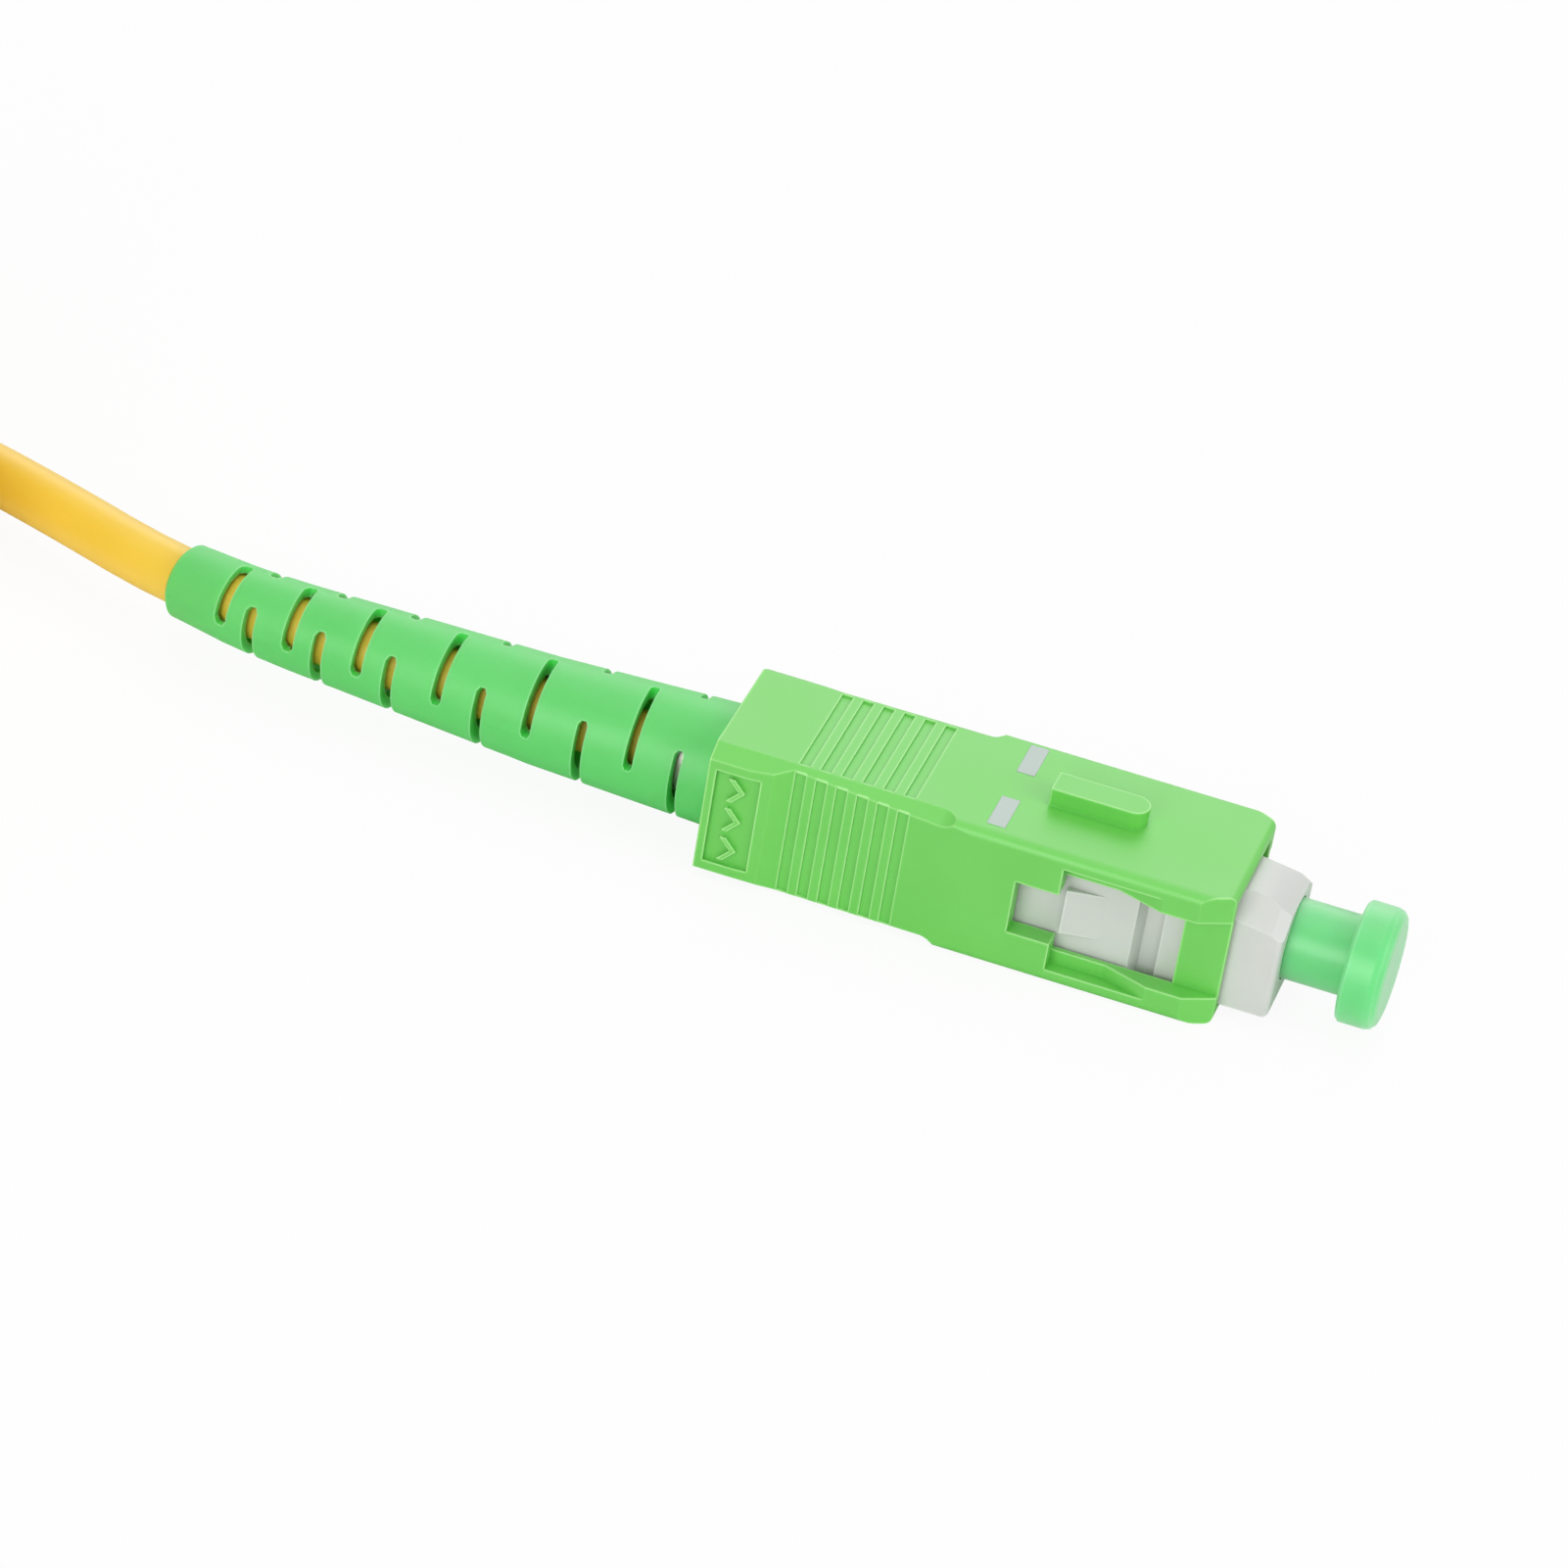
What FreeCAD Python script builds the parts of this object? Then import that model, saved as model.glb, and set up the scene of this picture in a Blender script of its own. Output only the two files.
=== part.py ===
"""SC fibre connector with an angled-polish ferrule, on a 3 mm cable.

Frame: millimetres, +X towards the mating end, +Z up through the key.
Every piece is drawn about the ferrule's axis and then lifted to the axis height, so the
housing's flat underside lies on z = 0.  The origin is on the underside, below the middle
of the key.
"""
import FreeCAD, Part
import math
import os

import Sketcher
from FreeCAD import Placement, Rotation, Vector

doc = FreeCAD.newDocument("ScFibreConnector")

# ---------------------------------------------------------------- driving dimensions
DIMENSIONS = {
    # housing that the fingers pull
    "HousingWidth": 9.0, "HousingHeight": 7.4, "HousingFront": 7.95, "HousingRear": -18.4,
    "EdgeRadius": 0.5, "FrontRound": 0.35, "CavityHalf": 3.1, "CavityWide": 3.42, "CavityRear": -10.6,
    "CollarBore": 3.0, "RearBore": 3.32, "RearBoreDepth": 2.2,
    "KeyRear": -2.44, "KeyFront": 2.34, "KeyWidth": 1.6, "KeyRise": 0.97, "KeyOffset": 0.13,
    "WindowRear": -2.58, "WindowStep": -0.4, "WindowFront": 5.65, "WindowHalf": 1.46,
    "ChannelHalf": 2.2, "PocketHalf": 2.93, "CamFloor": 3.7, "CamStart": 2.3, "CamEnd": 4.6,
    "BridgeFace": 3.4, "LeadLength": 1.53, "LeadDepth": 0.85,
    "RibStart": -14.23, "RibWidth": 0.535, "RibDepth": 0.12, "RibHalf": 3.45,
    "FlankHeight": 3.15, "CrownHalf": 3.55, "GripEnd": -6.75, "RunOut": 0.75,
    "FlareEnd": -16.4, "WaistStart": -14.4, "WaistDepth": 0.6, "WaistEnd": -5.2,
    "PanelRear": -17.98, "PanelFront": -15.75, "PanelHalf": 2.64, "PanelDepth": 0.24,
    # white frame round the ferrule
    "FrameHalf": 2.95, "FrameWide": 3.2, "FrameFront": 10.42, "FrameRear": -9.0,
    "LatchRear": 4.6, "LatchPocket": 2.5, "WedgeRear": -0.22, "WedgeHeight": 3.62,
    "WedgeHalf": 1.24, "NoseBore": 2.12, "NoseBoreEnd": 6.4, "SeatBore": 1.45, "SeatFace": 5.4,
    "SpringBore": 2.0,
    # ferrule, its holder, spring and stop
    "FerruleRadius": 1.25, "FerruleTip": 12.42, "FerruleRear": 2.02, "FibreBore": 0.08,
    "HolderRadius": 1.9, "HolderFront": 5.35, "HolderRear": 4.0, "HubRadius": 1.42, "HubRear": 1.0,
    "StopFace": -5.0, "StopCollarRear": -10.3, "BarrelRear": -18.0, "BarrelRadius": 1.7,
    "BarrelBore": 0.95, "BufferRadius": 0.45, "BufferRear": -16.8,
    # cable, crimp and boot
    "CableRadius": 1.5, "JacketStart": -18.05, "CrimpFront": -11.8, "CrimpRear": -21.7,
    "CrimpStep": -18.1, "CrimpInner": 1.82, "CrimpOuter": 2.2, "NeckInner": 1.53, "NeckOuter": 1.9,
    "BootFront": -12.6, "BootCollar": 2.85, "BootBase": 3.165, "BootTip": 1.93,
    "BootBore": 2.25, "BootMidBore": 1.85, "BootTipBore": 1.64,
    # dust cap
    "CapOpening": 7.2, "CapHeadRear": 13.5, "CapFront": 15.5, "CapNeck": 2.035,
    "CapHead": 3.06, "CapBore": 1.27, "CapBoreEnd": 13.0,
}

sheet = doc.addObject("Spreadsheet::Sheet", "Dims")
for row, (alias, number) in enumerate(DIMENSIONS.items(), start=1):
    sheet.set("A%d" % row, alias)
    sheet.set("B%d" % row, str(number))
    sheet.setAlias("B%d" % row, alias)
doc.recompute()

D = DIMENSIONS
AXIS_HEIGHT = D["HousingHeight"] / 2.0
X_AXIS = Vector(1, 0, 0)
CLEAR = 1.0          # how far a cutting outline stands off the surface that it cuts
MITRE = 2.0          # how far two lengths of a rod run past their mitre before it is cut
BLOCK = 16.0         # side of the block that cuts a mitre
RIBS = 6


def bound(expression):
    """The expression with each alias made into a reference to the sheet."""
    words = []
    word = ""
    for letter in str(expression) + " ":
        if letter.isalpha():
            word += letter
            continue
        if word:
            words.append("Dims." + word if word in DIMENSIONS else word)
            word = ""
        words.append(letter)
    return "".join(words).strip()


def value(expression):
    """The number that an expression in the sheet's aliases gives now."""
    result = sheet.evalExpression(bound(expression))
    return float(getattr(result, "Value", result))


def new_body(label):
    """A body drawn about the ferrule's axis and lifted to the axis height."""
    body = doc.addObject("PartDesign::Body", label)
    body.Label = label
    body.setExpression("Placement.Base.z", bound("HousingHeight / 2"))
    return body


def outline(body, plane, loops, offset=None, turn=None):
    """A sketch of closed outlines whose corners are bound to the sheet.

    A corner is (across, up); (across, up, sagitta) starts an arc to the next corner.
    """
    sketch = body.newObject("Sketcher::SketchObject", "Outline")
    support = [f for f in body.Origin.OriginFeatures if f.Role == plane][0]
    sketch.AttachmentSupport = [(support, "")]
    sketch.MapMode = "FlatFace"
    if turn is not None:
        sketch.AttachmentOffset = Placement(Vector(), Rotation(X_AXIS, turn))
    if offset is not None:
        sketch.setExpression("AttachmentOffset.Base.z", bound(offset))
    for corners in loops:
        points = [Vector(value(corner[0]), value(corner[1]), 0) for corner in corners]
        edges = []
        for corner, start, end in zip(corners, points, points[1:] + points[:1]):
            if len(corner) == 2:
                index = sketch.addGeometry(Part.LineSegment(start, end), False)
                edges.append((index, 1, 2))
                continue
            chord = end - start
            normal = Vector(-chord.y, chord.x, 0).normalize()
            middle = (start + end) * 0.5 + normal * corner[2]
            index = sketch.addGeometry(Part.Arc(start, middle, end), False)
            forward = sketch.getPoint(index, 1).distanceToPoint(start) < 1e-6
            edges.append((index, 1, 2) if forward else (index, 2, 1))
            half = chord.Length / 2
            radius = (half ** 2 + corner[2] ** 2) / (2 * abs(corner[2]))
            sketch.addConstraint(Sketcher.Constraint("Radius", index, radius))
        for (line, _, last), (following, first, _) in zip(edges, edges[1:] + edges[:1]):
            sketch.addConstraint(Sketcher.Constraint("Coincident", line, last, following, first))
        for (line, first, _), corner in zip(edges, corners):
            for kind, expression in (("DistanceX", corner[0]), ("DistanceY", corner[1])):
                rule = Sketcher.Constraint(kind, -1, 1, line, first, value(expression))
                index = sketch.addConstraint(rule)
                sketch.setExpression("Constraints[%d]" % index, bound(expression))
    return sketch


def rectangle(left, right, low, high):
    return [(left, low), (right, low), (right, high), (left, high)]


def grow(body, kind, sketch, length, middle=True):
    """A pad or pocket of the sketch, centred on its plane unless told otherwise."""
    before = 0.0 if body.Shape.isNull() else body.Shape.Volume
    feature = body.newObject("PartDesign::" + kind, kind)
    feature.Profile = sketch
    feature.setExpression("Length", bound(length))
    feature.Midplane = middle
    doc.recompute()
    change = body.Shape.Volume - before
    if (change > 0) != (kind == "Pad") or abs(change) < 1e-6:
        raise RuntimeError("%s of %s changed the volume by %.4f" % (kind, body.Label, change))
    return feature


def cut(body, plane, loops, length, turn=None):
    """A pocket centred on the plane."""
    return grow(body, "Pocket", outline(body, plane, loops, turn=turn), length)


def turned(body, kind, corners, centre=(0.0, 0.0)):
    """A revolution or groove along the ferrule's axis: corners are (x, radius)."""
    sketch = outline(body, "XY_Plane", [corners])
    sketch.AttachmentOffset = Placement(Vector(0, centre[0], centre[1]), Rotation())
    feature = body.newObject("PartDesign::" + kind, kind)
    feature.Profile = sketch
    feature.ReferenceAxis = (sketch, ["H_Axis"])
    feature.Angle = 360.0
    doc.recompute()
    return feature


def rounded(x, radius, corner, steps=3):
    """Corners (x, radius) of the short chords that round a front rim."""
    angles = [step * math.pi / 2 / steps for step in range(steps + 1)]
    return [("%s - %.4f" % (x, corner * (1 - math.sin(angle))),
             "%s - %.4f" % (radius, corner * (1 - math.cos(angle)))) for angle in angles]


def round_edges(body, radius, wanted):
    """A fillet on the straight edges of the body for which wanted(edge, direction) is true."""
    tip = body.Tip
    names = []
    for number, edge in enumerate(tip.Shape.Edges, start=1):
        if edge.Curve.TypeId != "Part::GeomLine" or len(edge.Vertexes) != 2:
            continue
        direction = edge.Vertexes[1].Point - edge.Vertexes[0].Point
        if wanted(edge, direction.normalize()):
            names.append("Edge%d" % number)
    fillet = body.newObject("PartDesign::Fillet", "Fillet")
    fillet.Base = (tip, names)
    fillet.setExpression("Radius", bound(radius))
    doc.recompute()
    return fillet


# ---------------------------------------------------------------- outer housing
def waist_at(x):
    """How far the flanks stand in from the full width ahead of the waist's wall."""
    return D["WaistDepth"] * (D["WaistEnd"] - x) / (D["WaistEnd"] - D["WaistStart"])


def shape_grip(body):
    """Planed corners that run out in a hollow, waisted flanks, and ribs all round."""
    drop = value("HousingHeight / 2 - FlankHeight")
    inset = value("HousingWidth / 2 - CrownHalf")
    slope = math.atan2(drop, inset)
    reach = D["CrownHalf"] * math.sin(slope) + D["HousingHeight"] / 2 * math.cos(slope)
    lift = 0.33
    for side in (1, -1):
        for up in (1, -1):
            sagitta = -up * 0.07
            planed = [("HousingRear - 1", up * reach), ("GripEnd", up * reach, sagitta),
                      ("GripEnd + RunOut", up * (reach + lift)),
                      ("GripEnd + RunOut", up * (reach + lift + CLEAR)),
                      ("HousingRear - 1", up * (reach + lift + CLEAR))]
            cut(body, "XZ_Plane", [planed], "3 * HousingWidth", turn=side * up * math.degrees(slope))

    for side in (1, -1):
        face = "%d * HousingWidth / 2" % side
        waist = [("FlareEnd", face), ("WaistStart - 0.8", "%s - %d * 0.14" % (face, side)),
                 ("WaistStart", "%s - %d * WaistDepth" % (face, side)), ("WaistEnd", face),
                 ("WaistEnd", "%s + %d" % (face, side)), ("FlareEnd", "%s + %d" % (face, side))]
        cut(body, "XY_Plane", [waist], "2 * HousingHeight")

    for number in range(RIBS):
        rear = "RibStart + %d * RibWidth" % (2 * number)
        front = "RibStart + %d * RibWidth" % (2 * number + 1)
        crown = []
        flank = []
        inward = waist_at(value(front))
        for side in (1, -1):
            crown.append(rectangle(rear, front, "%d * (HousingHeight / 2 - RibDepth)" % side,
                                   "%d * (HousingHeight / 2 + 1)" % side))
            flank.append(rectangle(rear, front, "%d * (HousingWidth / 2 - %.4f - RibDepth)" % (side, inward),
                                   "%d * (HousingWidth / 2 + 1)" % side))
        cut(body, "XZ_Plane", crown, "2 * RibHalf")
        cut(body, "XY_Plane", flank, "2 * (FlankHeight + %.4f)" % (inward * drop / inset - 0.04))


def taper_front(body):
    """Lead-in on both flanks of the front, and a small round on the crown's and belly's front edge."""
    for side in (1, -1):
        face = "%d * HousingWidth / 2" % side
        outside = "%d * (HousingWidth / 2 + 1)" % side
        lead = [("HousingFront - LeadLength", face),
                ("HousingFront", "%s - %d * LeadDepth" % (face, side)),
                ("HousingFront + 1", "%s - %d * LeadDepth" % (face, side)),
                ("HousingFront + 1", outside), ("HousingFront - LeadLength", outside)]
        cut(body, "XY_Plane", [lead], "2 * HousingHeight")
    round_edges(body, "FrontRound", lambda edge, along: abs(along.y) > 0.99
                and edge.BoundBox.XMin > D["HousingFront"] - 1e-6)


def open_windows(body):
    """Latch windows through both flanks, with cam ramps beside and a channel to the front."""
    for side in (1, -1):
        face = "%d * HousingWidth / 2" % side
        outside = "%d * (HousingWidth / 2 + 1)" % side
        cam = [("WindowStep", "%d * CamFloor" % side), ("CamStart", "%d * CamFloor" % side),
               ("CamEnd", face), ("CamEnd", outside), ("WindowStep", outside)]
        cut(body, "XY_Plane", [cam], "2 * PocketHalf")
        channel = rectangle("WindowFront - 0.5", "HousingFront + 1", "%d * BridgeFace" % side, outside)
        cut(body, "XY_Plane", [channel], "2 * ChannelHalf")
    window = [("WindowRear", "-WindowHalf"), ("WindowStep", "-WindowHalf"),
              ("WindowStep", "-ChannelHalf"), ("WindowFront", "-ChannelHalf"),
              ("WindowFront", "ChannelHalf"), ("WindowStep", "ChannelHalf"),
              ("WindowStep", "WindowHalf"), ("WindowRear", "WindowHalf")]
    cut(body, "XZ_Plane", [window], "2 * HousingWidth")


def add_chevrons(body):
    """Three raised arrow heads in the recessed panel, pointing at the mating end."""
    stroke = 0.32
    reach = 0.6
    middle = value("(PanelRear + PanelFront) / 2")
    heads = []
    for number in (-1, 0, 1):
        level = 1.7 * number
        rear = middle - (reach + stroke) / 2
        heads.append([(rear, level - 0.65), (rear + stroke, level - 0.65), (rear + stroke + reach, level),
                      (rear + stroke, level + 0.65), (rear, level + 0.65), (rear + reach, level)])
    floor = outline(body, "XZ_Plane", heads, offset="HousingWidth / 2 - PanelDepth - 0.05")
    grow(body, "Pad", floor, "0.05 + 0.9 * PanelDepth", middle=False)


def make_outer_housing():
    """Pulling sleeve: ribbed grip, key, latch windows with cam ramps, tapered front."""
    body = new_body("outer_housing")
    section = rectangle("-HousingWidth / 2", "HousingWidth / 2", "-HousingHeight / 2", "HousingHeight / 2")
    grow(body, "Pad", outline(body, "YZ_Plane", [section], offset="HousingRear"),
         "HousingFront - HousingRear", middle=False)
    round_edges(body, "EdgeRadius", lambda edge, along: abs(along.x) > 0.99)
    shape_grip(body)
    taper_front(body)
    open_windows(body)
    square = rectangle("-CavityHalf", "CavityHalf", "-CavityHalf", "CavityHalf")
    grow(body, "Pocket", outline(body, "YZ_Plane", [square], offset="HousingFront"),
         "HousingFront - CavityRear", middle=False)
    cut(body, "XY_Plane", [rectangle("CavityRear", "WindowFront", "-CavityWide", "CavityWide")],
        "2 * CavityHalf")
    turned(body, "Groove", [("HousingRear - 1", "0"), ("CavityRear + 1", "0"),
                            ("CavityRear + 1", "CollarBore"),
                            ("HousingRear + RearBoreDepth", "CollarBore"),
                            ("HousingRear + RearBoreDepth", "RearBore"), ("HousingRear - 1", "RearBore")])
    panel = rectangle("PanelRear", "PanelFront", "-HousingWidth / 2 - 1", "PanelDepth - HousingWidth / 2")
    cut(body, "XY_Plane", [panel], "2 * PanelHalf")
    add_chevrons(body)
    key = rectangle("KeyRear", "KeyFront", "KeyOffset - KeyWidth / 2", "KeyOffset + KeyWidth / 2")
    grow(body, "Pad", outline(body, "XY_Plane", [key], offset="HousingHeight / 2 - 0.2"),
         "KeyRise + 0.2", middle=False)
    round_edges(body, "0.49 * KeyWidth", lambda edge, along: abs(along.z) > 0.99
                and abs(edge.Vertexes[0].X - D["KeyFront"]) < 1e-6
                and edge.BoundBox.ZMax > D["HousingHeight"] + D["KeyRise"] - AXIS_HEIGHT - 0.1)
    return body


# ---------------------------------------------------------------- plug frame
def make_plug_frame():
    """White frame: planed key-side corners, latch shoulders, centring wedges, stepped bore."""
    body = new_body("plug_frame")
    section = rectangle("-FrameWide", "FrameWide", "-FrameHalf", "FrameHalf")
    grow(body, "Pad", outline(body, "YZ_Plane", [section], offset="FrameRear"),
         "FrameFront - FrameRear", middle=False)
    for side in (1, -1):
        nose = "%d * FrameHalf" % side
        pocket = "%d * LatchPocket" % side
        wide = "%d * FrameWide" % side
        outside = "%d * (FrameWide + 1)" % side
        flank = [("FrameFront + 1", nose), ("LatchRear", nose), ("LatchRear", pocket),
                 ("LatchRear - 0.95", pocket), ("LatchRear - 1.3", wide),
                 ("LatchRear - 1.3", outside), ("FrameFront + 1", outside)]
        cut(body, "XY_Plane", [flank], "3 * FrameHalf")
    round_edges(body, "0.3", lambda edge, along: edge.BoundBox.XMin > D["FrameFront"] - 1e-6)
    slope = 35.0
    reach = 3.45
    for side in (1, -1):
        corner = [("FrameRear - 1", reach), ("HousingFront - 1", reach), ("FrameFront - 0.6", reach - 0.35),
                  ("FrameFront + 0.1", reach - 0.7), ("FrameFront + 0.1", reach + 2), ("FrameRear - 1", reach + 2)]
        cut(body, "XZ_Plane", [corner], "6 * FrameHalf", turn=side * slope)
    crown = [("FrameFront - 1.9", "FrameHalf", 0.12), ("FrameFront + 0.1", "FrameHalf - 0.75"),
             ("FrameFront + 0.1", "FrameHalf + 1"), ("FrameFront - 1.9", "FrameHalf + 1")]
    cut(body, "XZ_Plane", [crown], "3 * FrameHalf")
    turned(body, "Groove", [("FrameFront + 1", "0"), ("FrameFront + 1", "NoseBore"), ("NoseBoreEnd", "NoseBore"),
                            ("NoseBoreEnd", "SeatBore"), ("SeatFace", "SeatBore"), ("SeatFace", "SpringBore"),
                            ("FrameRear - 1", "SpringBore"), ("FrameRear - 1", "0")])
    wedges = []
    for side in (1, -1):
        wedges.append([("WedgeRear", "%d * (FrameWide - 0.3)" % side), ("WedgeRear", "%d * WedgeHeight" % side),
                       ("WedgeRear + 1.9", "%d * FrameWide" % side),
                       ("WedgeRear + 1.9", "%d * (FrameWide - 0.3)" % side)])
    grow(body, "Pad", outline(body, "XY_Plane", wedges), "2 * WedgeHalf")
    return body


# ---------------------------------------------------------------- ferrule group
def make_ferrule():
    """Ceramic ferrule with a bevelled tip, polished eight degrees off square."""
    body = new_body("ferrule")
    turned(body, "Revolution", [("FerruleRear", "FibreBore"), ("FerruleRear", "FerruleRadius"),
                                ("FerruleTip - 0.45", "FerruleRadius"), ("FerruleTip", "0.7"),
                                ("FerruleTip", "FibreBore")])
    rise = 2 * math.tan(math.radians(8.0))
    polish = [("FerruleTip", 0), ("FerruleTip - %.4f" % rise, 2), ("FerruleTip + 1", 2), ("FerruleTip + 1", 0)]
    cut(body, "XZ_Plane", [polish], "4")
    return body


def make_ferrule_flange():
    """Metal holder pressed on the back of the ferrule, with two keying flats on its collar."""
    body = new_body("ferrule_flange")
    turned(body, "Revolution", [("HolderFront", "FerruleRadius + 0.01"), ("HolderFront", "HolderRadius"),
                                ("HolderRear", "HolderRadius"), ("HolderRear", "HubRadius"),
                                ("HubRear", "HubRadius"), ("HubRear", "0.82"),
                                ("FerruleRear - 0.02", "0.82"), ("FerruleRear - 0.02", "FerruleRadius + 0.01")])
    flats = []
    for side in (1, -1):
        flats.append(rectangle("HolderRear - 0.1", "HolderFront + 0.1", 1.65 * side, 2.2 * side))
    cut(body, "XZ_Plane", flats, "4")
    return body


def make_spring_stop():
    """Snap-in stop: round spigot, square collar, and a barrel ridged for the crimp."""
    body = new_body("spring_stop")
    ridges = []
    for number in range(2):
        rear = "BarrelRear + %.1f" % (1.4 + 2.2 * number)
        ridges += [(rear, "BarrelRadius - 0.1"), (rear + " + 1.4", "BarrelRadius"),
                   (rear + " + 1.4", "BarrelRadius - 0.1")]
    turned(body, "Revolution", [("StopFace", "BarrelBore"), ("BarrelRear", "BarrelBore"),
                                ("BarrelRear", "BarrelRadius - 0.1")] + ridges
           + [("StopCollarRear", "BarrelRadius - 0.1"), ("StopCollarRear", "SpringBore - 0.05"),
              ("StopFace", "SpringBore - 0.05")])
    collar = rectangle("-FrameHalf", "FrameHalf", "-FrameHalf", "FrameHalf")
    grow(body, "Pad", outline(body, "YZ_Plane", [collar], offset="StopCollarRear"),
         "FrameRear - StopCollarRear - 0.02", middle=False)
    turned(body, "Groove", [("StopFace + 1", "0"), ("StopFace + 1", "BarrelBore"), ("BarrelRear - 1", "BarrelBore"),
                            ("BarrelRear - 1", "0")])
    return body


def make_crimp_ring():
    """Stepped metal ring: wide over the barrel, narrow over the cable jacket."""
    body = new_body("crimp_ring")
    turned(body, "Revolution", [("CrimpFront", "CrimpInner"), ("CrimpFront", "CrimpOuter"),
                                ("CrimpStep", "CrimpOuter"), ("CrimpStep - 0.5", "NeckOuter"),
                                ("CrimpRear", "NeckOuter"), ("CrimpRear", "NeckInner"),
                                ("CrimpStep - 0.1", "NeckInner"), ("CrimpStep - 0.1", "CrimpInner")])
    return body


def make_dust_cap():
    """Cap: a thin tube over the ferrule with a solid rounded head, a little off its centre."""
    body = new_body("dust_cap")
    turned(body, "Revolution", [("CapOpening", "CapBore"), ("CapOpening", "CapNeck"),
                                ("CapHeadRear + 0.3", "CapNeck"), ("CapHeadRear + 0.3", "0"),
                                ("CapBoreEnd", "0"), ("CapBoreEnd", "CapBore")])
    turned(body, "Revolution", [("CapHeadRear", "0"), ("CapHeadRear", "CapHead - 0.15"),
                                ("CapHeadRear + 0.15", "CapHead")]
           + rounded("CapFront", "CapHead", 0.6) + [("CapFront", "0")], centre=(-0.1, -0.15))
    return body


# ---------------------------------------------------------------- boot and cable
RUN = [Vector(D["JacketStart"], 0, 0), Vector(-28.0, 0, 0), Vector(-46.58, 1.35, -0.2),
       Vector(-58.0, 6.75, -0.95), Vector(-66.4, 10.1, -1.6)]
ENTRY_TO_TANGENT = 6.5
BENDS = (-41.1, -43.2, -44.8, -48.05, -49.9, -51.7)
BOOT_BENDS = 4
UPPER_SLOTS = (-22.8, -28.1, -32.9, -37.3, -41.1, -44.7)
LOWER_SLOTS = (-20.4, -25.4, -30.7, -35.6, -39.5, -43.2)
COIL_RADIUS = 15.0
COIL_COLUMNS = 2
COIL_LAYERS = 5
TIE_THICKNESS = 0.5
TIE_ANGLE = 17.0


def bar(radius, start, end):
    return Part.makeCylinder(radius, end - start, Vector(start, 0, 0), X_AXIS)


def tube(inner, outer, start, end):
    return bar(outer, start, end).cut(bar(inner, start - CLEAR, end + CLEAR))


def tangent_path(points, share=0.45):
    """Straight runs joined by tangent arcs, each as wide as the shorter run allows."""
    edges = []
    radii = []
    start = points[0]
    for before, corner, after in zip(points, points[1:], points[2:]):
        back = (before - corner).normalize()
        ahead = (after - corner).normalize()
        half_turn = (math.pi - back.getAngle(ahead)) / 2
        setback = share * min((before - corner).Length, (after - corner).Length)
        radius = setback / math.tan(half_turn)
        inside = (back + ahead).normalize()
        middle = corner + inside * (radius / math.cos(half_turn) - radius)
        first = corner + back * setback
        last = corner + ahead * setback
        edges.append(Part.LineSegment(start, first).toShape())
        edges.append(Part.Arc(first, middle, last).toShape())
        radii.append(radius)
        start = last
    edges.append(Part.LineSegment(start, points[-1]).toShape())
    return edges, radii


def rod(points, radii):
    """A round bar along a broken line, mitred where two lengths meet.

    Each length is the cone that touches a sphere of the given radius at either end.  Two such
    cones share the sphere between them and so meet in a plane: q . (d / cos a + e / cos b) =
    radius * (tan a + tan b), for q from the shared point, directions d and e, half angles a and b.
    """
    lengths = []
    for start, end, first, last in zip(points, points[1:], radii, radii[1:]):
        along = end - start
        lengths.append((start, along.Length, Vector(along).normalize(),
                        math.asin((first - last) / along.Length), first))
    cones = []
    for number, (start, length, along, angle, radius) in enumerate(lengths):
        low = 0.0 if number == 0 else -MITRE
        high = length if number == len(lengths) - 1 else length + MITRE
        rear, front = [radius / math.cos(angle) - at * math.tan(angle) for at in (low, high)]
        if abs(angle) < 1e-9:
            cone = Part.makeCylinder(radius, high - low, start + along * low, along)
        else:
            cone = Part.makeCone(rear, front, high - low, start + along * low, along)
        cones.append(cone)
    for number, (one, other) in enumerate(zip(lengths, lengths[1:])):
        normal = one[2] / math.cos(one[3]) + other[2] / math.cos(other[3])
        lift = other[4] * (math.tan(one[3]) + math.tan(other[3])) / normal.Length ** 2
        place = Placement(other[0] + normal * lift, Rotation(Vector(0, 0, 1), normal))
        for piece, level in ((number, 0), (number + 1, -BLOCK)):
            block = Part.makeBox(BLOCK, BLOCK, BLOCK, Vector(-BLOCK / 2, -BLOCK / 2, level))
            block.Placement = place
            cones[piece] = cones[piece].cut(block)
    return cones[0].fuse(cones[1:])


path, path_radii = tangent_path(RUN)
run_length = sum(edge.Length for edge in path)
print("cable path radii:", ["%.1f" % radius for radius in path_radii])


def path_at(x):
    """Point and direction of the cable's path where it passes a station x."""
    for edge in path:
        first = edge.FirstParameter
        last = edge.LastParameter
        if edge.valueAt(last).x > x:
            continue
        for _ in range(40):
            middle = (first + last) / 2
            if edge.valueAt(middle).x > x:
                first = middle
            else:
                last = middle
        return edge.valueAt(first), edge.tangentAt(first)
    raise ValueError("the path ends before %s" % x)


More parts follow.
